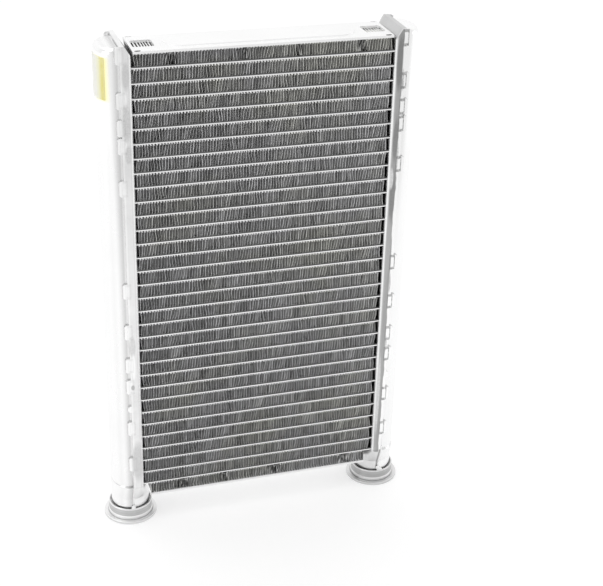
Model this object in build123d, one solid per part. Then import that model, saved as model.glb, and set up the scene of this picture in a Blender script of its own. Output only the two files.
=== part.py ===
from build123d import *
import math
import os

# Brazed aluminium heater core, in millimetres.
# X runs across the core, Y through its depth and Z up. Z = 0 is the floor under
# the two connectors, and X = 0, Y = 0 is the middle of the core.

# Core: flat tubes with a folded fin strip in every gap
fin_rows = 33
row_pitch = 7.5
core_base = 17.8
tube_height = 1.4
tube_depth = 24.8
tube_wall = 0.3
tube_nose = 0.4
tube_stand_through = 1.0
fin_sheet = 0.3
fin_setback = 0.2
fin_end_gap = 1.3
walls_per_strip = 30
strips_per_bank = 3

# Header plates, pressed pans that hold the tube ends
header_span = 130.0
header_sheet = 1.2
header_side_room = 0.2
header_reach = 5.8
header_corner = 2.5
header_rise = 4.2
slot_clearance = 0.05
ramp_drop = 5.5
ramp_reach = 3.5

# Crimp tabs on the header flanges, placed by fin row above the core's base
tab_rows = (2.8, 5.8, 9.2, 10.9, 13.5, 16.6, 24.0, 26.9, 28.1, 29.9)
tab_height = 8.2
tab_reach = 2.2
tab_corner = 0.8
top_tab_drop = 0.2
stop_row = 7.4
stop_radius = 1.9

# Tank shells, drawn covers that lap inside the header flanges
tank_sheet = 1.2
tank_flat = 1.2
tank_lap = 3.2
crimp_clearance = 0.05
dome_radius = 3.0
ledge_lip = 0.1

# Round lower ends of the tanks, and the flare that leads into them
end_radius = 10.2
flare_below_tube = 0.3
flare_drop = 9.8

# Connectors under the tanks
rim_reach = 2.6
rim_height = 1.7
rim_edge = 0.4
collar_wall = 0.8
collar_height = 8.2
ring_groove_width = 0.6
ring_groove_depth = 0.4
mouth_gap = 0.8
mouth_depth = 1.8
seat_clearance = 0.05
seat_height = 2.5
bore_lead = 1.0

# Side plates above and below the core
side_sheet = 1.2
side_overhang = 0.2
side_end_gap = 0.6
window_length = 10.4
window_depth = 10.5
window_inset = 1.6
window_corner = 1.2
notch_length = 2.8
notch_depth = 0.9
notch_web = 0.5
notch_inset = 1.1
bead_inset = 16.4
bead_side_inset = 4.1
bead_rise = 0.5
bead_slope = 35.0

# Label on the shoulder of the left tank
label_height = 20.5
label_drop = 4.6
label_sheet = 0.15
label_front = 10.0
label_back = 6.0

# Worked out from the sizes above
fin_height = row_pitch - tube_height
tube_count = fin_rows - 1
core_top = core_base + fin_rows * fin_height + tube_count * tube_height
header_face = header_span / 2
header_top = core_top + header_rise
half_header = tube_depth / 2 + header_side_room + header_sheet
half_tank = half_header - header_sheet - crimp_clearance
tank_top = header_top - header_sheet - crimp_clearance
seam = header_face + header_reach
flat_end = seam + tank_flat
flare_bulge = end_radius - tank_flat
tank_bulge = flare_bulge - ledge_lip
bore_radius = end_radius - tank_sheet
flare_top = core_base + fin_height - flare_below_tube
flare_bottom = flare_top - flare_drop


def tube_middle(index):
    return core_base + fin_height + tube_height / 2 + index * row_pitch


def row_level(row):
    return core_base + row * row_pitch


def core_room(level):
    # Half the width between the tanks, which the flares narrow below the tubes
    share = max(0, (flare_top - level) / flare_drop)
    return header_face - share * (end_radius - header_reach)


def across(face, half_depth):
    return extrude(face, half_depth, both=True)


def outline(points):
    return make_face(Polyline(*points, close=True))


# Tubes
def tube_section(growth):
    section = Rectangle(tube_depth + 2 * growth, tube_height + 2 * growth)
    return chamfer(section.vertices(), tube_nose + growth / 2)


def make_tube(index):
    wall = tube_section(0) - tube_section(-tube_wall)
    half_length = header_face + header_sheet + tube_stand_through
    return Pos(0, 0, tube_middle(index)) * across(Plane.YZ * wall, half_length)


# Fin strips: one sheet folded up and down between two tubes
def make_fin_strip(row):
    level = row_level(row)
    half_length = core_room(level) - fin_end_gap
    run = 2 * half_length / walls_per_strip
    upright = fin_sheet * math.hypot(fin_height, run) / run
    lower = []
    upper = []
    for fold in range(walls_per_strip + 1):
        x = fold * run - half_length
        z = level + (fold % 2) * (fin_height - upright)
        lower.append((x, z))
        upper.append((x, z + upright))
    folded_sheet = outline(lower + upper[::-1])
    return across(Plane.XZ * folded_sheet, tube_depth / 2 - fin_setback)


def make_fin_bank(first_row):
    last_row = min(first_row + strips_per_bank, fin_rows)
    return Compound(children=[make_fin_strip(row) for row in range(first_row, last_row)])


# The pressed pan of a header as a block, with every face set in by the same amount
def pan_block(inset, past_seam):
    face = header_face + inset
    far = seam + past_seam
    top = header_top - inset
    plan = Pos((face + far) / 2, 0) * Rectangle(far - face, 2 * (half_header - inset))
    plan = fillet(plan.vertices().sort_by(Axis.X)[:2], header_corner - inset)
    prism = extrude(Plane.XY.offset(flare_top) * plan, top - flare_top)
    lean = math.atan2(ramp_reach, ramp_drop)
    ramp_foot = header_top - ramp_drop - inset * math.tan(lean / 2)
    ramp_crest = header_face + ramp_reach + inset * math.tan(math.pi / 4 - lean / 2)
    side = [
        (face, flare_top),
        (face, ramp_foot),
        (ramp_crest, top),
        (far, top),
        (far, flare_top),
    ]
    return prism & across(Plane.XZ * outline(side), half_header)


# Lower end of a tank: the whole section of pan and shell flares into a round stub
def wide_section(inset):
    face = header_face + inset
    corner = header_corner - inset
    half_depth = half_header - inset
    turn_x = face + corner
    turn_y = half_depth - corner
    return make_face(
        [
            Line((face, -turn_y), (face, turn_y)),
            CenterArc((turn_x, turn_y), corner, 180, -90),
            Line((turn_x, half_depth), (flat_end, half_depth)),
            EllipticalCenterArc((flat_end, 0), flare_bulge - inset, half_depth, -90, arc_size=180),
            Line((flat_end, -half_depth), (turn_x, -half_depth)),
            CenterArc((turn_x, -turn_y), corner, 270, -90),
        ]
    )


def round_section(inset):
    corners = (225, 135, 110, 70, -70, -110, -135)
    arcs = []
    for start, stop in zip(corners, corners[1:]):
        arcs.append(CenterArc((seam, 0), end_radius - inset, start, stop - start))
    return make_face(arcs)


def lower_end(inset):
    wide = Plane.XY.offset(flare_top) * wide_section(inset)
    narrow = Plane.XY.offset(flare_bottom) * round_section(inset)
    flare = loft([wide, narrow], ruled=True)
    stub = Circle(end_radius - inset)
    stub = extrude(Pos(seam, 0, seat_height) * stub, flare_bottom - seat_height)
    return flare + stub


def seam_side(outward):
    reach = 3 * end_radius
    middle = Pos(seam + outward * reach / 2, 0, header_top / 2)
    return middle * Box(reach, 4 * half_header, 2 * header_top)


# Crimp tabs stand out from both flanges and hold the tank shell
def crimp_tabs():
    tab = Box(tab_reach, header_sheet, tab_height)
    free_edges = tab.edges().filter_by(Axis.Y).sort_by(Axis.X)[-2:]
    tab = chamfer(free_edges, tab_corner)
    stop = Rot(90, 0, 0) * Cylinder(stop_radius, header_sheet)
    levels = [row_level(row) for row in tab_rows]
    levels.append(header_top - top_tab_drop - tab_height / 2)
    tabs = []
    for side in (-1, 1):
        wall = side * (half_header - header_sheet / 2)
        tabs += [Pos(seam + tab_reach / 2, wall, level) * tab for level in levels]
        tabs.append(Pos(seam, wall, row_level(stop_row)) * stop)
    return tabs


def tube_slots():
    slot = Rectangle(tube_depth + 2 * slot_clearance, tube_height + 2 * slot_clearance)
    slot = Plane.YZ.offset(header_face - header_sheet) * slot
    cutter = extrude(slot, header_sheet + header_corner)
    return [Pos(0, 0, tube_middle(index)) * cutter for index in range(tube_count)]


def make_header():
    outside = pan_block(0, 0) + (lower_end(0) & seam_side(-1))
    inside = pan_block(header_sheet, header_sheet) + lower_end(header_sheet)
    return (outside - inside - tube_slots()) + crimp_tabs()


# Tank shell: a D-shaped cover, closed at the top by a flat cap with a rounded edge
def cover_block(inset, foot, start):
    half_depth = half_tank - inset
    section = make_face(
        [
            Line((start, -half_depth), (start, half_depth)),
            Line((start, half_depth), (flat_end, half_depth)),
            EllipticalCenterArc((flat_end, 0), tank_bulge - inset, half_depth, -90, arc_size=180),
            Line((flat_end, -half_depth), (start, -half_depth)),
        ]
    )
    block = extrude(Plane.XY.offset(foot) * section, tank_top - inset - foot)
    rounded_edges = block.faces().sort_by(Axis.Z)[-1].edges().sort_by(Axis.X)[1:]
    return fillet(rounded_edges, dome_radius - inset)


def make_tank():
    ledge_base = flare_top - tank_sheet
    fitted_in_pan = pan_block(header_sheet + crimp_clearance, 2 * end_radius)
    cover = cover_block(0, flare_top, seam - tank_lap) & fitted_in_pan
    hollow = cover_block(tank_sheet, ledge_base, header_face)
    below_ledge = Pos(seam, 0, ledge_base / 2) * Box(8 * half_header, 8 * half_header, ledge_base)
    lower_hollow = lower_end(tank_sheet) & below_ledge
    return cover + (lower_end(0) & seam_side(1)) - hollow - lower_hollow


# Connector: a rim and collar turned in one piece, with the tank's end seated in it
def make_connector():
    mouth_radius = end_radius + mouth_gap
    mouth_floor = collar_height - mouth_depth
    seat_radius = end_radius + seat_clearance
    collar_radius = mouth_radius + collar_wall
    rim_radius = collar_radius + rim_reach
    ring_radius = collar_radius + ring_groove_width
    ring_floor = rim_height - ring_groove_depth
    profile = outline(
        [
            (bore_radius + bore_lead, 0),
            (rim_radius, 0),
            (rim_radius, rim_height),
            (ring_radius, rim_height),
            (ring_radius, ring_floor),
            (collar_radius, ring_floor),
            (collar_radius, collar_height),
            (mouth_radius, collar_height),
            (mouth_radius, mouth_floor),
            (seat_radius, mouth_floor),
            (seat_radius, seat_height),
            (bore_radius, seat_height),
            (bore_radius, bore_lead),
        ]
    )
    profile = chamfer(profile.vertices().sort_by(Axis.X)[-2:], rim_edge)
    return Pos(seam, 0, 0) * revolve(Plane.XZ * profile, Axis.Z)


# Side plate: a pressed strip with a bead, two windows and four small slots
def make_side_plate(half_length):
    half_depth = tube_depth / 2 + side_overhang
    bead = SlotOverall(2 * (half_length - bead_inset), 2 * (half_depth - bead_side_inset))
    plate = extrude(Rectangle(2 * half_length, 2 * half_depth), side_sheet)
    plate += Pos(0, 0, side_sheet) * extrude(bead, bead_rise, taper=bead_slope)
    plate -= extrude(bead, bead_rise, taper=bead_slope)
    window = RectangleRounded(window_length, window_depth, window_corner)
    notch = Rectangle(notch_length, notch_depth)
    window_x = half_length - window_inset - window_length / 2
    notch_x = half_length - notch_inset - notch_length / 2
    notch_y = half_depth - notch_web - notch_depth / 2
    openings = [Pos(side * window_x, 0) * window for side in (-1, 1)]
    for side in (-1, 1):
        openings += [Pos(side * notch_x, y) * notch for y in (-notch_y, notch_y)]
    return plate - [extrude(opening, side_sheet) for opening in openings]


def make_top_plate():
    half_length = header_face - side_end_gap
    return Pos(0, 0, core_top) * make_side_plate(half_length)


def make_bottom_plate():
    half_length = core_room(core_base - side_sheet - bead_rise) - side_end_gap
    return Pos(0, 0, core_base) * mirror(make_side_plate(half_length), Plane.XY)


# Label: a thin band bent round the outside of the left tank
def make_label():
    band = Ellipse(tank_bulge + label_sheet, half_tank + label_sheet)
    band -= Ellipse(tank_bulge, half_tank)
    reach = 2 * end_radius
    depth = label_front + label_back
    window = Pos(-reach / 2, (label_back - label_front) / 2) * Rectangle(reach, depth)
    foot = tank_top - label_drop - label_height
    return extrude(Pos(-flat_end, 0, foot) * (band & window), label_height)


nodes = {}
for index in range(tube_count):
    nodes[f"tube_{index + 1:02d}"] = make_tube(index)
for index, first_row in enumerate(range(0, fin_rows, strips_per_bank)):
    nodes[f"fin_bank_{index + 1:02d}"] = make_fin_bank(first_row)
nodes["right_header_plate"] = make_header()
nodes["right_tank_shell"] = make_tank()
nodes["right_connector"] = make_connector()
for piece in ("header_plate", "tank_shell", "connector"):
    nodes[f"left_{piece}"] = mirror(nodes[f"right_{piece}"], Plane.YZ)
nodes["top_side_plate"] = make_top_plate()
nodes["bottom_side_plate"] = make_bottom_plate()
nodes["label"] = make_label()

os.makedirs("parts", exist_ok=True)
for name, shape in nodes.items():
    export_step(shape, f"parts/{name}.step")
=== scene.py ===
import math
import random
from types import SimpleNamespace

import bmesh
import bpy
from mathutils import Matrix, Vector


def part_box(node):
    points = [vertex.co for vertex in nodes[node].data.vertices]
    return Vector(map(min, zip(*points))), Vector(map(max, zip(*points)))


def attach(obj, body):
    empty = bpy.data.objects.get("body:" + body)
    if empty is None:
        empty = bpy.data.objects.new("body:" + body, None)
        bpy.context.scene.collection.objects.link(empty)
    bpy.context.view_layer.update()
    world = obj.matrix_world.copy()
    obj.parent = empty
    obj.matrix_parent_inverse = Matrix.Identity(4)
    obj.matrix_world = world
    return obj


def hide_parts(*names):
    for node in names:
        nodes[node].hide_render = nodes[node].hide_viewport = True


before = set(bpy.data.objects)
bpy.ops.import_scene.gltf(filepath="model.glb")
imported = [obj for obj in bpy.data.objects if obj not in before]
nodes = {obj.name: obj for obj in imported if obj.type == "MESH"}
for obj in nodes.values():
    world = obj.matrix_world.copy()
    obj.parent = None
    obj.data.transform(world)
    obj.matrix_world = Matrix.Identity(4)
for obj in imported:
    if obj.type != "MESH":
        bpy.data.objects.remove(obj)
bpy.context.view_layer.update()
mm = 0.001
hair = 0.01 * mm  # slack when two places are compared
middleBlend = (-1, 1)  # in mm, where a pattern changes from left to right or from front to back
print("frame loaded:", len(nodes), "CAD nodes")


# small helpers for pieces

def finishPiece(piece, replaced=()):
    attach(piece, "root")
    if replaced:
        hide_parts(*replaced)
    return piece


def meshPiece(name, mesh, material):
    data = bpy.data.meshes.new(name)
    mesh.to_mesh(data)
    mesh.free()
    data.materials.append(material)
    piece = bpy.data.objects.new(name, data)
    bpy.context.scene.collection.objects.link(piece)
    return piece


def joinMesh(whole, part):
    data = bpy.data.meshes.new("partDraft")
    part.to_mesh(data)
    part.free()
    whole.from_mesh(data)
    bpy.data.meshes.remove(data)


def dressNode(name, material):
    slots = nodes[name].data.materials
    if len(slots) == 0:
        slots.append(material)
    for index in range(len(slots)):
        slots[index] = material


def sideSign(side):
    return -1 if side == "left" else 1


# small helpers for materials

def startMaterial(name, metal=1.0):
    material = bpy.data.materials.new(name)
    material.use_nodes = True
    tree = material.node_tree
    shader = tree.nodes["Principled BSDF"]
    shader.inputs["Metallic"].default_value = metal
    return material, tree, shader


def addNode(tree, kind, values=(), **settings):
    node = tree.nodes.new(kind)
    for key, value in settings.items():
        setattr(node, key, value)
    for socket, value in dict(values).items():
        if isinstance(value, bpy.types.NodeSocket):
            tree.links.new(value, node.inputs[socket])
        else:
            node.inputs[socket].default_value = value
    return node


def objectPlace(tree, scale=(1.0, 1.0, 1.0)):
    place = addNode(tree, "ShaderNodeTexCoord")
    mapped = addNode(tree, "ShaderNodeMapping", {"Vector": place.outputs["Object"], "Scale": scale})
    return mapped.outputs["Vector"]


def axes(tree):
    place = addNode(tree, "ShaderNodeTexCoord")
    parts = addNode(tree, "ShaderNodeSeparateXYZ", {"Vector": place.outputs["Object"]})
    return [parts.outputs[name] for name in ("X", "Y", "Z")]


def noise(tree, place, scale, detail=2.0, rough=0.5):
    node = addNode(tree, "ShaderNodeTexNoise", {
        "Vector": place,
        "Scale": scale,
        "Detail": detail,
        "Roughness": rough,
    })
    return node.outputs["Fac"]


def calc(tree, operation, first, second=0.0):
    return addNode(tree, "ShaderNodeMath", {0: first, 1: second}, operation=operation).outputs[0]


def product(tree, first, *others):
    for other in others:
        first = calc(tree, "MULTIPLY", first, other)
    return first


def apart(tree, value, middle):
    return calc(tree, "ABSOLUTE", calc(tree, "SUBTRACT", value, middle))


def ramp(tree, factor, low, high, fromLow=0.0, fromHigh=1.0):
    node = addNode(tree, "ShaderNodeMapRange", {
        "Value": factor,
        "From Min": fromLow,
        "From Max": fromHigh,
        "To Min": low,
        "To Max": high,
    }, clamp=True)
    return node.outputs["Result"]


def rise(tree, place, start, end):  # 0 up to start, 1 past end, both in mm
    return ramp(tree, place, 0.0, 1.0, start * mm, end * mm)


def fall(tree, place, start, end):  # 1 up to start, 0 past end, both in mm
    return ramp(tree, place, 1.0, 0.0, start * mm, end * mm)


def grey(level):
    return (level, level, level, 1.0)


def mixColor(tree, factor, first, second, blend="MIX"):
    node = addNode(tree, "ShaderNodeMix", data_type="RGBA", blend_type=blend)
    for index, value in ((0, factor), (6, first), (7, second)):  # inputs 6 and 7 take colours
        if isinstance(value, bpy.types.NodeSocket):
            tree.links.new(value, node.inputs[index])
        else:
            node.inputs[index].default_value = value
    return node.outputs[2]


def darken(tree, factor, color, tone):
    return mixColor(tree, factor, color, mixColor(tree, 1.0, color, tone, "MULTIPLY"))


def stopRamp(tree, place, stops, reach):  # grey tones at places in mm, over a reach in mm
    node = addNode(tree, "ShaderNodeValToRGB", {"Fac": calc(tree, "DIVIDE", place, reach * mm)})
    elements = node.color_ramp.elements
    while len(elements) < len(stops):
        elements.new(1.0)
    for element, (start, level) in zip(elements, stops):
        element.position = start / reach
        element.color = grey(level)
    return node.outputs["Color"]


def bump(tree, height, strength, distance):
    values = {"Height": height, "Strength": strength, "Distance": distance * mm}
    return addNode(tree, "ShaderNodeBump", values).outputs["Normal"]


# one sheet metal recipe: each piece's dictionary says how bright, rough and spotted it is

sheetNoise = {
    "broad": (3.0, 0.55),  # detail and roughness of the noise
    "fine": (4.0, 0.65),
    "clouds": (0.35, 0.68),  # part of the noise that each pattern uses
    "speckles": (0.48, 0.72),
    "roughness": (0.3, 0.7),
}


def sheetMetal(name, finish):
    material, tree, shader = startMaterial(name, finish.get("metal", 1.0))
    grain = finish.get("grain", (1.0, 1.0, 1.0))
    broad = noise(tree, objectPlace(tree), finish["cloudScale"], *sheetNoise["broad"])
    fine = noise(tree, objectPlace(tree, grain), finish["grainScale"], *sheetNoise["fine"])
    clouds = ramp(tree, broad, 0.0, 1.0, *sheetNoise["clouds"])
    color = mixColor(tree, clouds, grey(finish["dark"]), grey(finish["light"]))
    speckle = ramp(tree, fine, 0.0, finish["speckle"], *sheetNoise["speckles"])
    color = mixColor(tree, speckle, color, grey(finish["speckleTone"]))
    if "marks" in finish:
        color = finish["marks"](tree, color, fine)
    tree.links.new(color, shader.inputs["Base Color"])
    roughness = ramp(tree, broad, finish["smooth"], finish["rough"], *sheetNoise["roughness"])
    tree.links.new(roughness, shader.inputs["Roughness"])
    tree.links.new(bump(tree, fine, finish["bump"], finish["bumpDepth"]), shader.inputs["Normal"])
    return material


# camera, found by fitting the core's corners in the photo

shot = {
    "place": (-0.1755, -0.6139, 0.4547),
    "right": (0.95448, -0.29704, 0.02720),
    "forward": (0.27614, 0.84548, -0.45707),
    "lens": 81.23,
    "sensor": 36.0,
    "clip": (0.01, 20.0),
}


def makeCamera():
    data = bpy.data.cameras.new("shotCamera")
    data.lens = shot["lens"]
    data.sensor_width = shot["sensor"]
    data.clip_start, data.clip_end = shot["clip"]
    camera = bpy.data.objects.new("shotCamera", data)
    bpy.context.scene.collection.objects.link(camera)
    back = -Vector(shot["forward"]).normalized()
    right = Vector(shot["right"]).normalized()
    upward = back.cross(right)
    turn = Matrix((right, upward, back)).transposed().to_4x4()
    camera.matrix_world = Matrix.Translation(shot["place"]) @ turn
    bpy.context.scene.camera = camera
    print("camera placed")


# studio: white table, soft lamps, and a pale room that is brighter behind the part

studio = {
    "tableFront": -0.42,
    "tableBack": 4.0,
    "tableSide": 4.0,
    "tableTone": 0.55,
    "tableLift": 0.52,
    "roomLight": 1.0,
    "roomBack": 1.22,
    "roomBackFrom": (0.1, 0.6),
    "roomFront": 1.05,
    "roomFrontFrom": (-0.75, -0.15),
    "roomFrontBelow": (0.15, 0.60),
    "lampAim": (0.0, 0.0, 0.13),
    "overhead": {"place": (-0.25, 0.10, 1.3), "size": 1.1, "power": 2.5},
    "leftLamp": {"place": (-1.1, -0.35, 0.55), "size": 0.8, "power": 1.5},
    "rightLamp": {"place": (1.1, -0.10, 0.50), "size": 0.8, "power": 1.2},
}


def makeTable():
    mesh = bmesh.new()
    side = studio["tableSide"]
    corners = [(-side, studio["tableFront"]), (side, studio["tableFront"]),
               (side, studio["tableBack"]), (-side, studio["tableBack"])]
    mesh.faces.new([mesh.verts.new((x, y, 0.0)) for x, y in corners])
    material = bpy.data.materials.new("tableWhite")
    material.use_nodes = True
    tree = material.node_tree
    tree.nodes.clear()
    ray = addNode(tree, "ShaderNodeLightPath")
    matte = addNode(tree, "ShaderNodeBsdfDiffuse", {"Color": grey(studio["tableTone"])})
    seen = calc(tree, "MAXIMUM", ray.outputs["Is Camera Ray"], ray.outputs["Is Glossy Ray"])
    glow = addNode(tree, "ShaderNodeEmission", {"Strength": product(tree, seen, studio["tableLift"])})
    both = addNode(tree, "ShaderNodeAddShader", {0: matte.outputs[0], 1: glow.outputs[0]})
    addNode(tree, "ShaderNodeOutputMaterial", {"Surface": both.outputs[0]})
    meshPiece("table", mesh, material)


def makeRoom():
    world = bpy.data.worlds.new("studioRoom")
    bpy.context.scene.world = world
    world.use_nodes = True
    tree = world.node_tree
    tree.nodes.clear()
    place = addNode(tree, "ShaderNodeTexCoord")
    parts = addNode(tree, "ShaderNodeSeparateXYZ", {"Vector": place.outputs["Generated"]})
    inFront = ramp(tree, parts.outputs["Y"], 1.0, 0.0, *studio["roomFrontFrom"])
    lowDown = ramp(tree, parts.outputs["Z"], 1.0, 0.0, *studio["roomFrontBelow"])
    level = ramp(tree, product(tree, inFront, lowDown), studio["roomLight"], studio["roomFront"])
    behind = ramp(tree, parts.outputs["Y"], 1.0, studio["roomBack"], *studio["roomBackFrom"])
    level = product(tree, level, behind)
    seen = addNode(tree, "ShaderNodeLightPath").outputs["Is Camera Ray"]
    tone = addNode(tree, "ShaderNodeMix", {0: seen, 2: level, 3: 1.0}, data_type="FLOAT")
    glow = addNode(tree, "ShaderNodeBackground", {"Strength": tone.outputs[0]})
    addNode(tree, "ShaderNodeOutputWorld", {"Surface": glow.outputs[0]})


def makeLamp(name):
    lamp = studio[name]
    data = bpy.data.lights.new(name, "AREA")
    data.size = lamp["size"]
    data.energy = lamp["power"]
    lampObject = bpy.data.objects.new(name, data)
    bpy.context.scene.collection.objects.link(lampObject)
    aim = Vector(studio["lampAim"]) - Vector(lamp["place"])
    turn = aim.to_track_quat("-Z", "Y").to_matrix().to_4x4()
    lampObject.matrix_world = Matrix.Translation(lamp["place"]) @ turn


def makeStudio():
    makeTable()
    makeRoom()
    for name in ("overhead", "leftLamp", "rightLamp"):
        makeLamp(name)
    bpy.context.scene.view_settings.view_transform = "Standard"
    print("studio lit")


# soft wave: three sines with seeded sizes, lengths and phases

wave = {"steps": (1, 2, 4), "size": (0.5, 1.0), "stretch": (0.8, 1.2), "turn": 6.28}


def softWave(dice, longest):
    turn = wave["turn"]
    parts = []
    for step in wave["steps"]:
        size = dice.uniform(*wave["size"])
        length = longest / step * dice.uniform(*wave["stretch"])
        parts.append((size, length, dice.uniform(0, turn)))
    return lambda x: sum(size * math.sin(x / length * turn + phase) for size, length, phase in parts) / 2


# fin strips: thin foil folded up and down between every two tubes

fins = {
    "wallPitch": 0.70 * mm,
    "foil": 0.07 * mm,
    "endRoom": 0.05 * mm,
    "endView": 3.2 * mm,
    "leftReach": (0.5 * mm, 1.0 * mm),
    "crest": 0.25 * mm,
    "wallShares": (0.34, 0.44, 0.5, 0.56, 0.66),  # of the pitch, where a wall bends on its way up
    "lean": 1.10 * mm,
    "leanWave": 46 * mm,
    "bow": 0.24 * mm,
    "bowWave": 21 * mm,
    "wander": 0.08 * mm,
    "curl": 0.17 * mm,
    "curlDepth": 0.25 * mm,
    "curlAbove": 0.5,
    "edgeWander": 0.6,
    "lipDrop": 0.50 * mm,
    # tone of the rising walls as painted light, of the falling walls as painted shade, then of the crests
    # at the floor and the roof
    "risingLight": (0.62, 0.90),
    "fallingShade": (0.20, 0.52),
    "floorCrestShade": 0.35,
    "roofCrestLight": 1.0,
    "seed": 7,
}

# places where the foil is crushed: row counted from the bottom, x, half width
dents = [
    (32, -45.8, 1.8), (32, -10.3, 1.7), (32, 48.6, 2.0), (32, 16.0, 1.3),
    (0, -43.7, 3.2), (0, 8.6, 3.6), (0, 49.0, 2.8), (0, -20.0, 1.8),
]

# how far a crushed lip moves, in mm, and how much of it gets painted shade
crush = {"lip": 2, "sideways": 0.8, "inward": 1.4, "down": 1.4, "downAbove": 5, "weak": 0.05,
         "strong": 0.3, "shadedShare": 0.8, "shade": 0.15}

# part of the top row that shows through the windows of the side plate, with painted highlights on its
# crests, painted light in the right window's front gaps and painted shade in the other gaps
windowView = {"row": 32, "nearX": 50.0 * mm, "halfDepth": 5.6 * mm, "edge": 0.3 * mm, "crestHighlight": 2.0,
              "gapShade": 0.15, "litGap": 1.0, "litGapReach": 3.2 * mm}


def nodeSpanX(name, lowZ, highZ):
    span = [v.co.x for v in nodes[name].data.vertices if lowZ <= v.co.z <= highZ]
    return min(span), max(span)


def rowLevels():
    tubeNames = sorted(name for name in nodes if name.startswith("tube_"))
    floors = [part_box("bottom_side_plate")[1].z] + [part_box(name)[1].z for name in tubeNames]
    roofs = [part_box(name)[0].z for name in tubeNames] + [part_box("top_side_plate")[0].z]
    return list(zip(floors, roofs))


def foldPath(span, floor, roof, dice):
    left, right = span
    count = round((right - left) / fins["wallPitch"])
    pitch = (right - left) / count
    lean = softWave(dice, fins["leanWave"])
    bow = softWave(dice, fins["bowWave"])
    middle = (floor + roof) / 2
    height = roof - floor
    climbs = (0.0, fins["crest"], height / 2, height - fins["crest"], height)
    points = []
    for wall in range(count):
        x = left + wall * pitch
        rising = wall % 2 == 0
        # rising walls are painted light, falling walls painted shade
        tone = dice.uniform(*fins["risingLight"]) if rising else dice.uniform(*fins["fallingShade"])
        tilt = fins["lean"] * lean(x)
        bulge = fins["bow"] * bow(x) + dice.uniform(-1, 1) * fins["wander"]
        for share, climb in zip(fins["wallShares"], climbs):
            z = floor + climb if rising else roof - climb
            inner = 1 - abs(z - middle) / (height / 2)
            across = x + share * pitch + tilt * (z - middle) / height + bulge * inner
            level = tone
            # crests at the floor get painted shade, crests at the roof painted light
            if z <= floor:
                level = fins["floorCrestShade"]
            elif z >= roof:
                level = fins["roofCrestLight"]
            points.append((min(max(across, left), right), z, level))
    return points


def foldedStrip(mesh, points, depths, dice):
    tone = mesh.verts.layers.float["foldLightShade"]
    verts = []
    for x, z, level in points:
        vert = mesh.verts.new((x, depths[0], z))
        vert[tone] = level
        verts.append(vert)
    edges = [mesh.edges.new(pair) for pair in zip(verts, verts[1:])]
    for depth in depths[1:]:
        made = bmesh.ops.extrude_edge_only(mesh, edges=edges)["geom"]
        edges = [item for item in made if isinstance(item, bmesh.types.BMEdge)]
        moved = [item for item in made if isinstance(item, bmesh.types.BMVert)]
        for vert in moved:
            vert.co.y = depth
        verts += moved
    for vert in verts:
        if abs(vert.co.y) > abs(depths[0]) - hair:
            curl = fins["curl"] * vert[tone] if vert[tone] > fins["curlAbove"] else 0.0
            vert.co.x += curl + dice.uniform(-fins["edgeWander"], fins["edgeWander"]) * fins["wander"]
    return verts


# painted light and shade where the top row shows through the windows: a painted highlight on the crests,
# painted light in the front part of the right window's gaps, painted shade in the other gaps near the top
def paintWindowLightShade(mesh, verts, roof):
    tone = mesh.verts.layers.float["foldLightShade"]
    for vert in verts:
        inside = abs(vert.co.y) <= windowView["halfDepth"] and abs(vert.co.x) > windowView["nearX"]
        paintedLight = inside and vert.co.x > 0 and vert.co.y < windowView["litGapReach"] + hair
        if inside and vert.co.z >= roof - hair:
            vert[tone] = windowView["crestHighlight"]
        elif paintedLight:
            vert[tone] = windowView["litGap"]
        elif inside and vert.co.z > roof - 2 * fins["crest"]:
            vert[tone] = windowView["gapShade"]


def bendCrests(verts, front, roof):
    for vert in verts:
        if vert.co.y < front + hair and vert.co.z >= roof - hair:
            vert.co.z -= fins["lipDrop"]


def crushLip(mesh, verts, row, front, floor, dice):
    tone = mesh.verts.layers.float["foldLightShade"]
    lipEnd = front + crush["lip"] * mm
    downFrom = floor + crush["downAbove"] * mm
    for dentRow, x, reach in dents:
        if dentRow != row:
            continue
        for vert in verts:
            force = math.exp(-((vert.co.x - x * mm) / (reach * mm)) ** 2)
            if vert.co.y < lipEnd and force > crush["weak"]:
                vert.co.x += dice.uniform(-crush["sideways"], crush["sideways"]) * force * mm
                vert.co.y += dice.uniform(0.0, crush["inward"]) * force * mm
            if vert.co.y < lipEnd and force > crush["strong"] and vert.co.z > downFrom:
                vert.co.z -= dice.uniform(0.0, crush["down"]) * force * mm
            # crushed foil is painted with shade
            if vert.co.y < lipEnd and dice.random() < crush["shadedShare"] * force:
                vert[tone] *= crush["shade"]


def stripDepths(low, high, row):
    inner = []
    if row == windowView["row"]:
        half = windowView["halfDepth"]
        reach = windowView["litGapReach"]
        inner = [-half - windowView["edge"], -half, reach, reach + windowView["edge"], half]
    return [low.y, low.y + fins["curlDepth"]] + inner + [high.y - fins["curlDepth"], high.y]


def foldRow(mesh, bank, row, floor, roof, dice):
    low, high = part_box(bank)
    middle = (floor + roof) / 2
    left, right = nodeSpanX(bank, middle - fins["endView"], middle + fins["endView"])
    left -= dice.uniform(*fins["leftReach"])
    span = (left + fins["endRoom"], right - fins["endRoom"])
    foilRoof = roof - fins["foil"] / 2
    points = foldPath(span, floor + fins["foil"] / 2, foilRoof, dice)
    strip = foldedStrip(mesh, points, stripDepths(low, high, row), dice)
    if row == windowView["row"]:
        paintWindowLightShade(mesh, strip, foilRoof)
    bendCrests(strip, low.y, foilRoof)
    crushLip(mesh, strip, row, low.y, floor, dice)


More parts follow.
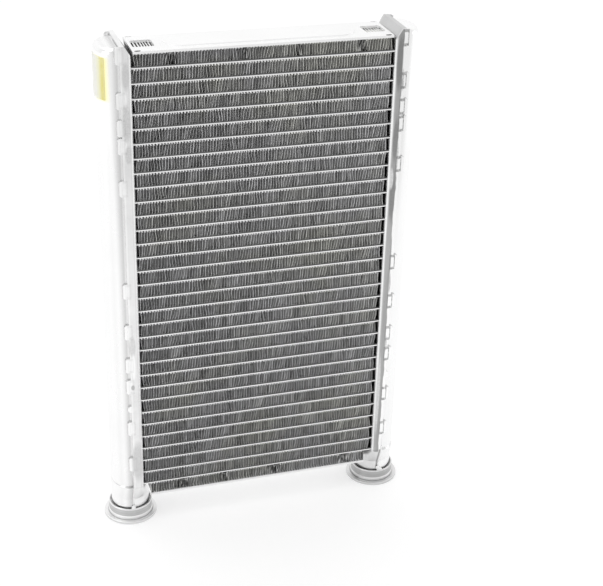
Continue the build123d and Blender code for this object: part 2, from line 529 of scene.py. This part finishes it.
def makeFins(material):
    dice = random.Random(fins["seed"])
    levels = rowLevels()
    banks = sorted(name for name in nodes if name.startswith("fin_bank_"))
    rowsPerBank = math.ceil(len(levels) / len(banks))
    for number, bank in enumerate(banks):
        mesh = bmesh.new()
        mesh.verts.layers.float.new("foldLightShade")
        for row in range(number * rowsPerBank, (number + 1) * rowsPerBank):
            foldRow(mesh, bank, row, *levels[row], dice)
        piece = meshPiece(f"finStrips{number + 1:02d}", mesh, material)
        solidify = piece.modifiers.new("foilThickness", "SOLIDIFY")
        solidify.thickness = fins["foil"]
        solidify.offset = 0.0
        finishPiece(piece, [bank])
    print("fins folded:", len(levels), "rows")


# foil colour by the fold attribute, which holds painted light and shade: 0 is bare metal in painted
# shade, 1 light and matte as if lit, above 1 a crest with a painted highlight
finFoil = {
    "olive": (0.95, 0.95, 0.90, 1.0),
    "plain": (0.95, 0.95, 0.96, 1.0),
    # crest colour of the painted highlight
    "crest": (0.99, 0.99, 0.99, 1.0),
    "shade": (0.24, 0.24, 0.235, 1.0),
    "tintNoise": (28.0, 3.0, 0.6),
    "tintRange": (0.35, 0.55),
    "crestHighlightRange": (1.0, 1.6),
    "matteMetal": 0.1,
    "roughness": 0.5,
    "louvreScale": 50.0,
    "louvreWarp": 0.6,
    "louvreBump": (0.5, 0.15),
}


def makeFinMaterial():
    material, tree, shader = startMaterial("finFoil")
    plain = objectPlace(tree)
    tone = addNode(tree, "ShaderNodeAttribute", attribute_name="foldLightShade").outputs["Fac"]
    tint = ramp(tree, noise(tree, plain, *finFoil["tintNoise"]), 0.0, 1.0, *finFoil["tintRange"])
    color = mixColor(tree, tint, finFoil["olive"], finFoil["plain"])
    color = mixColor(tree, tone, finFoil["shade"], color)
    # a painted highlight on the crests that show in the windows, as bright metal
    paintedLight = ramp(tree, tone, 0.0, 1.0, *finFoil["crestHighlightRange"])
    tree.links.new(mixColor(tree, paintedLight, color, finFoil["crest"]), shader.inputs["Base Color"])
    metal = calc(tree, "MAXIMUM", ramp(tree, tone, 1.0, finFoil["matteMetal"]), paintedLight)
    tree.links.new(metal, shader.inputs["Metallic"])
    shader.inputs["Roughness"].default_value = finFoil["roughness"]
    louvres = addNode(tree, "ShaderNodeTexWave", {
        "Vector": plain,
        "Scale": finFoil["louvreScale"],
        "Distortion": finFoil["louvreWarp"],
    }, bands_direction="Y")
    tree.links.new(bump(tree, louvres.outputs["Fac"], *finFoil["louvreBump"]), shader.inputs["Normal"])
    return material


# round wire along a path: rings of verts, one at each point, bridged to the next

def roundWire(mesh, points, radii, segments):
    loops = []
    for index, point in enumerate(points):
        before = Vector(points[max(index - 1, 0)])
        after = Vector(points[min(index + 1, len(points) - 1)])
        turn = (after - before).to_track_quat("Z", "Y").to_matrix().to_4x4()
        ring = bmesh.ops.create_circle(mesh, cap_ends=index in (0, len(points) - 1), segments=segments,
                                       radius=radii[index], matrix=Matrix.Translation(point) @ turn)
        loops.append(list({edge for vert in ring["verts"] for edge in vert.link_edges}))
    for first, second in zip(loops, loops[1:]):
        bmesh.ops.bridge_loops(mesh, edges=first + second)
    bmesh.ops.recalc_face_normals(mesh, faces=mesh.faces)


# crimp tabs: a dull line round every tab where it lies on the tank shell, partly flux and partly a
# painted shadow of the gap at the tab's edge

tabs = {
    "rows": (2.8, 5.8, 9.2, 10.9, 13.5, 16.6, 24.0, 26.9, 28.1, 29.9),
    "base": 17.8,
    "rowPitch": 7.5,
    "topMiddle": 263.8,
    "halfHeight": 4.1,
    "reach": 2.2,
    "corner": 0.8,
    "seam": 70.8,
    "lineStart": 0.1,
    "lineTop": 267.7,
    "lineDepth": 12.75,
    "lineRadius": 0.17,
    "lineGap": 0.10,
    "lineSides": 6,
}


def tabMiddles():
    return [tabs["base"] + row * tabs["rowPitch"] for row in tabs["rows"]] + [tabs["topMiddle"]]


def makeTabLines(side, material):
    mesh = bmesh.new()
    sign = sideSign(side)
    start = tabs["lineStart"]
    reach = tabs["reach"] + tabs["lineGap"]
    half = tabs["halfHeight"] + tabs["lineGap"]
    corner = tabs["corner"]
    outline = [(start, half), (reach - corner, half), (reach, half - corner), (reach, corner - half),
               (reach - corner, -half), (start, -half)]
    for middle in tabMiddles():
        for depth in (-tabs["lineDepth"], tabs["lineDepth"]):
            points = [(sign * (tabs["seam"] + x) * mm, depth * mm, min(middle + z, tabs["lineTop"]) * mm)
                      for x, z in outline]
            wire = bmesh.new()
            roundWire(wire, points, [tabs["lineRadius"] * mm] * len(points), tabs["lineSides"])
            joinMesh(mesh, wire)
    finishPiece(meshPiece(f"{side}TabLines", mesh, material))


# header plates: painted light and shade across each flange from the inner corner to the outer edge, then
# stains with painted shade and highlights, flux and painted shadow round the tabs, and painted shade on
# the sloped end, painted shadow in the corner gap, painted shade on the lower flare with a dark line, and
# painted shade in the pocket that the tubes enter

flange = {
    "start": 65.0,
    "reach": 8.0,
    # painted light and shade across each flange from its inner corner: on the left highlight and dark
    # lines from its bends, on the right a broad painted shade
    "left": [(0.0, 0.94), (1.2, 0.94), (1.8, 0.80), (2.3, 0.90), (4.8, 0.90), (5.1, 1.0), (5.7, 1.0),
             (6.0, 0.92)],
    "right": [(0.0, 0.76), (0.6, 0.66), (1.1, 0.53), (2.3, 0.46), (4.1, 0.42), (4.4, 1.0), (5.8, 1.0)],
    "face": (13.2, 13.6),
    "wander": 0.55,
    "wanderNoise": (45.0, 3.0, 0.6),
    "wanderRange": (0.35, 0.65),
    "whiteFrom": (69.1, 69.4),
    "tabFrom": (70.9, 71.1),
    "white": 0.97,
    "markEdge": (0.5, 1.2),
    "markGrain": (0.35, 0.65),
    # painted shade on the right sloped end, painted shadow in the left corner gap, painted shade on the
    # right lower flare and painted shade in the pocket
    "slopeShade": {"tone": 0.68, "above": (262.4, 263.2), "within": (12.6, 13.4)},
    "gapShadow": {"tone": 0.06, "above": (261.5, 262.5), "below": (266.6, 267.8), "within": (12.6, 13.2),
            "front": (1, 5)},
    "flare": {"tone": 0.84, "below": (23.8, 24.6), "front": (-6, 0), "line": 0.34,
              "lineFrom": (69.3, 69.9)},
    "pocketShade": {"tone": 0.10, "upTo": (65.05, 65.2), "within": (11.2, 12.2), "above": (23.7, 24.3)},
}

# flux and painted shadow round each tab, partly on the flange and partly on the tab, strongest on the
# right
tabFluxShadow = {
    "middle": {"left": 70.4, "right": 70.2},
    "half": (1.45, 4.1),
    "inner": (0.62, 0.74),
    "outer": (1.0, 1.1),
    "worn": 0.45,
    "wornRange": (0.4, 0.6),
    "strength": {"left": 0.14, "right": 0.9},
    "tone": 0.24,
}

# stains, painted shade and painted highlights on the two front flanges, soft at their edges: the dark
# marks on the right stand in for shade between the tabs
headerMarks = [
    {"x": -68.8, "z": 242.1, "half": (0.9, 3.4), "tone": 0.97, "broken": 0.2},
    {"x": -69.0, "z": 219.1, "half": (0.5, 2.6), "tone": 0.99, "broken": 0.0},
    {"x": -68.4, "z": 231.0, "half": (2.4, 9.5), "tone": 0.62, "broken": 0.5},
    {"x": -68.2, "z": 254.0, "half": (1.8, 7.0), "tone": 0.64, "broken": 0.4},
    {"x": -67.9, "z": 215.0, "half": (1.8, 5.0), "tone": 0.62, "broken": 0.5},
    {"x": -69.3, "z": 110.5, "half": (1.8, 6.5), "tone": 0.66, "broken": 0.5},
    {"x": -69.0, "z": 98.5, "half": (1.0, 8.0), "tone": 0.97, "broken": 0.1},
    {"x": -69.7, "z": 86.4, "half": (1.0, 1.6), "tone": 0.50, "broken": 0.1},
    {"x": -68.2, "z": 40.0, "half": (3.4, 13.0), "tone": 0.62, "broken": 0.3},
    {"x": 67.7, "z": 251.5, "half": (1.7, 15.0), "tone": 0.25, "broken": 0.2},
    {"x": 67.9, "z": 211.0, "half": (1.5, 12.0), "tone": 0.26, "broken": 0.3},
    {"x": 67.9, "z": 180.0, "half": (1.5, 16.0), "tone": 0.26, "broken": 0.3},
    {"x": 68.6, "z": 143.0, "half": (1.0, 18.0), "tone": 0.36, "broken": 0.3},
    {"x": 68.0, "z": 108.0, "half": (1.3, 14.0), "tone": 0.38, "broken": 0.3},
    {"x": 68.3, "z": 40.0, "half": (0.9, 18.0), "tone": 0.36, "broken": 0.4},
    {"x": 66.9, "z": 190.0, "half": (1.2, 6.0), "tone": 0.80, "broken": 0.5},
    {"x": 67.4, "z": 150.0, "half": (1.6, 19.0), "tone": 0.46, "broken": 0.5},
    {"x": 66.9, "z": 60.0, "half": (1.0, 26.0), "tone": 0.74, "broken": 0.6},
    {"x": 69.6, "z": 242.5, "half": (0.9, 6.0), "tone": 0.40, "broken": 0.7},
    {"x": 69.4, "z": 202.0, "half": (0.6, 7.0), "tone": 0.50, "broken": 0.7},
    {"x": 69.5, "z": 130.0, "half": (0.7, 6.0), "tone": 0.46, "broken": 0.7},
    {"x": 69.5, "z": 93.0, "half": (0.7, 5.0), "tone": 0.50, "broken": 0.7},
]


def flangePlaces(tree):
    x, y, z = axes(tree)
    deep = calc(tree, "ABSOLUTE", y)
    face = rise(tree, deep, *flange["face"])
    front = product(tree, face, fall(tree, y, *middleBlend))
    away = calc(tree, "ABSOLUTE", x)
    right = rise(tree, x, *middleBlend)
    return SimpleNamespace(x=x, y=y, z=z, away=away, deep=deep, face=face, front=front, right=right)


def flangeLightAndShade(tree, color, at):
    along = noise(tree, objectPlace(tree, (0.0, 0.0, 1.0)), *flange["wanderNoise"])
    shift = ramp(tree, along, -1.0, 1.0, *flange["wanderRange"])
    shift = product(tree, shift, at.right, flange["wander"] * mm)
    away = calc(tree, "SUBTRACT", at.away, shift)
    fromCorner = calc(tree, "SUBTRACT", away, flange["start"] * mm)
    left = stopRamp(tree, fromCorner, flange["left"], flange["reach"])
    right = stopRamp(tree, fromCorner, flange["right"], flange["reach"])
    # painted light and shade across the flange
    color = darken(tree, at.face, color, mixColor(tree, at.right, left, right))
    # the right flange's outer strip and the tab faces turn near white
    strip = product(tree, at.right, rise(tree, away, *flange["whiteFrom"]))
    white = calc(tree, "MAXIMUM", strip, rise(tree, at.away, *flange["tabFrom"]))
    return mixColor(tree, product(tree, at.front, white), color, grey(flange["white"]))


def flangeStainsAndShade(tree, color, at, fine):
    for mark in headerMarks:
        across = calc(tree, "DIVIDE", calc(tree, "SUBTRACT", at.x, mark["x"] * mm), mark["half"][0] * mm)
        along = calc(tree, "DIVIDE", calc(tree, "SUBTRACT", at.z, mark["z"] * mm), mark["half"][1] * mm)
        spread = calc(tree, "ADD", product(tree, across, across), product(tree, along, along))
        patch = product(tree, at.front, ramp(tree, spread, 1.0, 0.0, *flange["markEdge"]))
        grain = ramp(tree, fine, 1.0, 1.0 - mark["broken"], *flange["markGrain"])
        # the marks are stains, painted shade and painted highlights
        color = mixColor(tree, product(tree, patch, grain), color, grey(mark["tone"]))
    return color


def nearestTab(tree, z):
    nearest = None
    for middle in tabMiddles():
        distance = apart(tree, z, middle * mm)
        nearest = distance if nearest is None else calc(tree, "MINIMUM", nearest, distance)
    return nearest


def fluxAndShadowRounds(tree, color, at, fine):
    middle = ramp(tree, at.right, tabFluxShadow["middle"]["left"] * mm, tabFluxShadow["middle"]["right"] * mm)
    across = calc(tree, "DIVIDE", apart(tree, at.away, middle), tabFluxShadow["half"][0] * mm)
    along = calc(tree, "DIVIDE", nearestTab(tree, at.z), tabFluxShadow["half"][1] * mm)
    rim = calc(tree, "MAXIMUM", across, along)
    worn = ramp(tree, fine, 1.0, tabFluxShadow["worn"], *tabFluxShadow["wornRange"])
    strength = ramp(tree, at.right, tabFluxShadow["strength"]["left"], tabFluxShadow["strength"]["right"])
    inner = ramp(tree, rim, 0.0, 1.0, *tabFluxShadow["inner"])
    outer = ramp(tree, rim, 1.0, 0.0, *tabFluxShadow["outer"])
    edge = product(tree, inner, outer, at.front, worn, strength)
    # flux and painted shadow round the tab
    return mixColor(tree, edge, color, grey(tabFluxShadow["tone"]))


def flangeEnds(tree, color, at):
    slopeShade, gapShadow, flare, pocketShade = (flange[name] for name in ("slopeShade", "gapShadow", "flare", "pocketShade"))
    # painted shade on the right sloped end
    onSlope = product(tree, rise(tree, at.z, *slopeShade["above"]), fall(tree, at.deep, *slopeShade["within"]),
                      at.right)
    color = darken(tree, onSlope, color, grey(slopeShade["tone"]))
    # painted shadow in the left corner gap
    inGap = product(tree, fall(tree, at.z, *gapShadow["below"]), rise(tree, at.z, *gapShadow["above"]),
                    fall(tree, at.deep, *gapShadow["within"]), fall(tree, at.y, *gapShadow["front"]),
                    ramp(tree, at.right, 1.0, 0.0))
    color = mixColor(tree, inGap, color, grey(gapShadow["tone"]))
    # painted shade on the right lower flare, and a dark line near its outer edge
    onFlare = product(tree, fall(tree, at.z, *flare["below"]), fall(tree, at.y, *flare["front"]),
                      at.right)
    color = darken(tree, onFlare, color, grey(flare["tone"]))
    line = product(tree, onFlare, rise(tree, at.away, *flare["lineFrom"]))
    color = mixColor(tree, line, color, grey(flare["line"]))
    # painted shade in the pocket that the tubes enter
    inPocket = product(tree, fall(tree, at.away, *pocketShade["upTo"]), fall(tree, at.deep, *pocketShade["within"]),
                       rise(tree, at.z, *pocketShade["above"]))
    return mixColor(tree, inPocket, color, grey(pocketShade["tone"]))


def flangeMarks(tree, color, fine):
    at = flangePlaces(tree)
    color = flangeLightAndShade(tree, color, at)
    color = flangeStainsAndShade(tree, color, at, fine)
    color = fluxAndShadowRounds(tree, color, at, fine)
    return flangeEnds(tree, color, at)


# braze seam: bead down the lower end of each tank, and a blob where it meets the collar

braze = {
    "beadX": 70.8,
    "bead": [(13.75, 34.0), (13.8, 30.0), (13.8, 23.6), (12.0, 18.7), (10.35, 14.1), (10.25, 12.0),
             (10.25, 8.4)],
    "beadRadii": [0.12, 0.36, 0.40, 0.42, 0.40, 0.38, 0.34],
    "beadSides": 10,
    "left": {"place": (-70.9, -10.7, 8.1), "size": (1.5, 0.85, 2.0), "lean": 0.0},
    "right": {"place": (71.6, -10.6, 8.6), "size": (1.5, 0.8, 2.7), "lean": -0.75},
    "swell": 0.16,
    "swellWave": 2.4,
    "seed": 3,
}


def brazeBlob(shape):
    blob = bmesh.new()
    bmesh.ops.create_icosphere(blob, subdivisions=3, radius=1.0)
    dice = random.Random(braze["seed"])
    waves = [softWave(dice, braze["swellWave"]) for axis in range(3)]
    for vert in blob.verts:
        lumps = waves[0](vert.co.x) + waves[1](vert.co.y + vert.co.z) + waves[2](vert.co.z)
        vert.co *= 1 + braze["swell"] * lumps
    turn = Matrix.Rotation(shape["lean"], 4, "Y")
    place = Matrix.Translation([value * mm for value in shape["place"]])
    size = Matrix.Diagonal([value * mm for value in shape["size"]] + [1.0])
    bmesh.ops.transform(blob, matrix=place @ turn @ size, verts=blob.verts)
    return blob


def makeBraze(side, material):
    mesh = bmesh.new()
    beadX = sideSign(side) * braze["beadX"] * mm
    for front in (-1, 1):
        points = [(beadX, front * y * mm, z * mm) for y, z in braze["bead"]]
        wire = bmesh.new()
        roundWire(wire, points, [radius * mm for radius in braze["beadRadii"]], braze["beadSides"])
        joinMesh(mesh, wire)
    joinMesh(mesh, brazeBlob(braze[side]))
    piece = finishPiece(meshPiece(f"{side}BrazeSeam", mesh, material))
    for face in piece.data.polygons:
        face.use_smooth = True


# connectors: turned profile with fine lathe lines, spun about the tank's axis

connector = {
    "axisX": 70.8,
    "boreRadius": 9.0,
    "boreChamfer": 1.0,
    "rimRadius": 14.4,
    "rimHeight": 1.7,
    "rimRound": 0.4,
    "rimBreak": (0.12, 0.08),
    "footRadius": 12.12,
    "footHeight": 3.3,
    "collarRadius": 11.8,
    "collarHeight": 8.2,
    "collarBreak": (0.15, 0.25),
    "mouthRadius": 11.0,
    "mouthFloor": 6.4,
    "mouthRound": 0.12,
    "seatRadius": 10.25,
    "seatHeight": 2.5,
    "grooveRadius": 12.4,
    "grooveFloor": 1.3,
    "edgeBreak": 0.1,
    "latheRoom": (0.3, 0.5),
    "lathePitch": 0.30,
    "latheDepth": 0.05,
    "steps": 96,
}

# painted light and shade on the ring's front by height, in mm: highlights on its edges, shade in its
# groove; the right ring is painted darker as if in shade
ringLightShade = {
    "tones": [(0.0, 0.84), (0.5, 0.76), (1.0, 0.68), (1.4, 0.80), (1.6, 0.98), (1.9, 0.84), (3.0, 0.84),
              (3.2, 0.98), (3.6, 0.94), (4.0, 0.48), (4.5, 0.55), (5.4, 0.50), (6.2, 0.57), (7.3, 0.55),
              (7.8, 0.92)],
    "reach": 10.0,
    "strength": 0.85,
    "rightShade": 0.86,
}


def shadeRings(tree, color, fine):
    x, y, z = axes(tree)
    tones = stopRamp(tree, z, ringLightShade["tones"], ringLightShade["reach"])
    color = mixColor(tree, ringLightShade["strength"], color, tones)
    # the right connector gets painted shade
    return darken(tree, rise(tree, x, *middleBlend), color, grey(ringLightShade["rightShade"]))


def connectorProfile():
    c = connector
    edge = c["edgeBreak"]
    breakWide, breakHigh = c["rimBreak"]
    collarWide, collarHigh = c["collarBreak"]
    profile = [
        (c["boreRadius"] + c["boreChamfer"], 0.0),
        (c["rimRadius"] - c["rimRound"], 0.0),
        (c["rimRadius"] - breakWide, breakHigh),
        (c["rimRadius"], c["rimRound"]),
        (c["rimRadius"], c["rimHeight"] - c["rimRound"]),
        (c["rimRadius"] - breakWide, c["rimHeight"] - edge),
        (c["rimRadius"] - c["rimRound"], c["rimHeight"]),
        (c["grooveRadius"] + edge, c["rimHeight"]),
        (c["grooveRadius"], c["rimHeight"] - edge),
        (c["grooveRadius"], c["grooveFloor"]),
        (c["footRadius"], c["grooveFloor"]),
        (c["footRadius"], c["footHeight"] - c["latheRoom"][0]),
        (c["footRadius"] - edge, c["footHeight"]),
        (c["collarRadius"], c["footHeight"] + c["latheRoom"][0] / 2),
    ]
    level = c["footHeight"] + c["latheRoom"][0]
    while level < c["collarHeight"] - c["latheRoom"][1]:
        profile.append((c["collarRadius"], level))
        profile.append((c["collarRadius"] - c["latheDepth"], level + c["lathePitch"] / 2))
        level += c["lathePitch"]
    profile += [
        (c["collarRadius"], c["collarHeight"] - collarHigh),
        (c["collarRadius"] - collarWide, c["collarHeight"]),
        (c["mouthRadius"] + c["mouthRound"], c["collarHeight"]),
        (c["mouthRadius"], c["collarHeight"] - c["mouthRound"]),
        (c["mouthRadius"], c["mouthFloor"]),
        (c["seatRadius"], c["mouthFloor"]),
        (c["seatRadius"], c["seatHeight"]),
        (c["boreRadius"], c["seatHeight"]),
        (c["boreRadius"], c["boreChamfer"]),
    ]
    return profile


def makeConnector(side, material):
    mesh = bmesh.new()
    axisX = sideSign(side) * connector["axisX"]
    verts = [mesh.verts.new(((axisX + radius) * mm, 0.0, z * mm)) for radius, z in connectorProfile()]
    edges = [mesh.edges.new((verts[index - 1], verts[index])) for index in range(len(verts))]
    bmesh.ops.spin(mesh, geom=verts + edges, cent=(axisX * mm, 0.0, 0.0), axis=(0.0, 0.0, 1.0),
                   angle=2 * math.pi, steps=connector["steps"], use_merge=True)
    bmesh.ops.recalc_face_normals(mesh, faces=mesh.faces)
    finishPiece(meshPiece(f"{side}TurnedConnector", mesh, material), [f"{side}_connector"])


# tubes: bright on the nose, with painted shade on top where the fins meet them

tubeBand = {"pitch": 7.5, "middle": 24.6, "above": 0.08, "soft": 0.20, "topShade": 0.12}


def noseBand(tree, color, fine):
    z = axes(tree)[2]
    pitch = tubeBand["pitch"] * mm
    rows = calc(tree, "DIVIDE", calc(tree, "SUBTRACT", z, tubeBand["middle"] * mm - pitch / 2), pitch)
    height = calc(tree, "SUBTRACT", product(tree, calc(tree, "FRACT", rows), pitch), pitch / 2)
    # painted shade on the top of each tube
    topShade = rise(tree, height, tubeBand["above"], tubeBand["above"] + tubeBand["soft"])
    return mixColor(tree, topShade, color, grey(tubeBand["topShade"]))


# side plates: the small slots at the front near their ends get painted shade inside and round their rim

plateSlots = {"middle": (61.9, 11.65), "half": (1.46, 0.51), "rimShade": (0.95, 0.80), "tone": 0.03}


def slotShade(tree, color, fine):
    x, y, z = axes(tree)
    front = calc(tree, "LESS_THAN", y, 0.0)
    for reach in (plateSlots["half"], plateSlots["rimShade"]):
        inside = front
        for axis, middle, half in zip((x, y), plateSlots["middle"], reach):
            distance = apart(tree, calc(tree, "ABSOLUTE", axis), middle * mm)
            inside = product(tree, inside, calc(tree, "LESS_THAN", distance, half * mm))
        # painted shade inside each front slot and round its rim
        color = mixColor(tree, inside, color, grey(plateSlots["tone"]))
    return color


# tanks: both paler near the top; the left one has painted shade in a soft grey band beside the seam, and
# a second fainter one, a yellow gleam beside the label and a thin line low on the seam

shell = {
    "start": 70.0,
    "reach": 12.0,
    "band": [(0.0, 1.0), (1.2, 0.90), (2.0, 0.70), (3.0, 0.80), (4.2, 0.94), (5.2, 1.0), (7.0, 0.95),
             (8.6, 1.0)],
    "top": {"tone": 0.99, "above": (205, 240)},
    "gleam": {"color": (0.98, 0.91, 0.45, 1.0), "front": (-11.8, -10.0), "back": (-5, 0),
              "above": (240.5, 242.5), "below": (261.5, 263.0)},
    "line": {"tone": 0.50, "start": (1.25, 1.40), "end": (1.55, 1.75), "below": (24, 32)},
}


def shellBand(tree, color, fine):
    x, y, z = axes(tree)
    top, gleam, line = (shell[name] for name in ("top", "gleam", "line"))
    onLeft = fall(tree, x, *middleBlend)
    fromSeam = calc(tree, "SUBTRACT", calc(tree, "ABSOLUTE", x), shell["start"] * mm)
    color = mixColor(tree, rise(tree, z, *top["above"]), color, grey(top["tone"]))
    # painted shade in bands beside the seam of the left tank
    color = darken(tree, onLeft, color, stopRamp(tree, fromSeam, shell["band"], shell["reach"]))
    onGleam = product(tree, rise(tree, y, *gleam["front"]), fall(tree, y, *gleam["back"]),
                      rise(tree, z, *gleam["above"]), fall(tree, z, *gleam["below"]), onLeft)
    color = mixColor(tree, onGleam, color, gleam["color"])
    onLine = product(tree, rise(tree, fromSeam, *line["start"]), fall(tree, fromSeam, *line["end"]),
                     fall(tree, z, *line["below"]), onLeft)
    return mixColor(tree, onLine, color, grey(line["tone"]))


# label: pale yellow film with a deeper stripe, paled toward the back by painted light

labelFilm = {
    "deep": (0.90, 0.82, 0.30, 1.0),
    "pale": (0.99, 0.97, 0.62, 1.0),
    "paleLight": (0.99, 0.99, 0.95, 1.0),
    "stripe": -9.0,
    "stripeEdge": (0.3, 2.2),
    "paleLightFrom": (-8.4, -4.2),
    "grainScale": 400.0,
    "grainRange": (0.4, 0.7),
    "grain": 0.25,
    "roughness": 0.45,
}


def makeLabelMaterial():
    material, tree, shader = startMaterial("labelFilm", 0.0)
    y = axes(tree)[1]
    outside = rise(tree, apart(tree, y, labelFilm["stripe"] * mm), *labelFilm["stripeEdge"])
    color = mixColor(tree, outside, labelFilm["deep"], labelFilm["pale"])
    # painted light pales the film toward the back
    color = mixColor(tree, rise(tree, y, *labelFilm["paleLightFrom"]), color, labelFilm["paleLight"])
    spots = noise(tree, objectPlace(tree), labelFilm["grainScale"])
    grain = ramp(tree, spots, 0.0, labelFilm["grain"], *labelFilm["grainRange"])
    color = mixColor(tree, grain, color, labelFilm["pale"])
    tree.links.new(color, shader.inputs["Base Color"])
    shader.inputs["Roughness"].default_value = labelFilm["roughness"]
    return material


# finishes

tubeFinish = {
    "metal": 0.9, "dark": 0.98, "light": 0.995,
    "cloudScale": 90.0, "grainScale": 1400.0, "grain": (0.2, 1.0, 1.0),
    "speckle": 0.2, "speckleTone": 0.98, "smooth": 0.25, "rough": 0.38, "bump": 0.1, "bumpDepth": 0.05,
    "marks": noseBand,
}
headerFinish = {
    "dark": 0.86, "light": 0.98, "cloudScale": 70.0, "grainScale": 1100.0,
    "speckle": 0.4, "speckleTone": 0.99, "smooth": 0.26, "rough": 0.42, "bump": 0.20, "bumpDepth": 0.06,
    "marks": flangeMarks,
}
tankFinish = {
    "dark": 0.90, "light": 0.94, "cloudScale": 25.0, "grainScale": 800.0, "grain": (1.0, 1.0, 0.08),
    "speckle": 0.25, "speckleTone": 0.96, "smooth": 0.20, "rough": 0.30, "bump": 0.03, "bumpDepth": 0.02,
    "marks": shellBand,
}
connectorFinish = {
    "dark": 0.70, "light": 0.82, "cloudScale": 40.0, "grainScale": 900.0, "grain": (0.15, 0.15, 3.0),
    "speckle": 0.3, "speckleTone": 0.90, "smooth": 0.32, "rough": 0.45, "bump": 0.15, "bumpDepth": 0.05,
    "marks": shadeRings,
}
sidePlateFinish = {
    "metal": 0.5, "dark": 0.94, "light": 0.97,
    "cloudScale": 35.0, "grainScale": 1000.0, "grain": (0.1, 1.0, 1.0),
    "speckle": 0.2, "speckleTone": 0.97, "smooth": 0.34, "rough": 0.45, "bump": 0.05, "bumpDepth": 0.03,
    "marks": slotShade,
}
brazeFinish = {
    "metal": 0.6, "dark": 0.93, "light": 0.97, "cloudScale": 300.0, "grainScale": 2000.0,
    "speckle": 0.2, "speckleTone": 0.97, "smooth": 0.25, "rough": 0.40, "bump": 0.2, "bumpDepth": 0.08,
}
# tab lines: dull flux that also stands in for the shadow in the gap round each tab
fluxShadowFinish = {
    "dark": 0.70, "light": 0.86, "cloudScale": 300.0, "grainScale": 2500.0,
    "speckle": 0.4, "speckleTone": 0.92, "smooth": 0.45, "rough": 0.65, "bump": 0.2, "bumpDepth": 0.04,
}


def dressCad():
    finishes = {
        "tube_": sheetMetal("tubeMetal", tubeFinish),
        "_header_plate": sheetMetal("headerMetal", headerFinish),
        "_tank_shell": sheetMetal("tankMetal", tankFinish),
        "_side_plate": sheetMetal("sidePlateMetal", sidePlateFinish),
        "label": makeLabelMaterial(),
    }
    for name in nodes:
        for part, material in finishes.items():
            if part in name:
                dressNode(name, material)
    print("CAD pieces dressed")


makeCamera()
makeStudio()
makeFins(makeFinMaterial())
brazeMetal = sheetMetal("brazeMetal", brazeFinish)
tabFluxShadowMetal = sheetMetal("tabFluxShadowMetal", fluxShadowFinish)
turnedMetal = sheetMetal("turnedMetal", connectorFinish)
for side in ("left", "right"):
    makeConnector(side, turnedMetal)
    makeTabLines(side, tabFluxShadowMetal)
    makeBraze(side, brazeMetal)
print("connectors, tab lines and braze seams made")
dressCad()
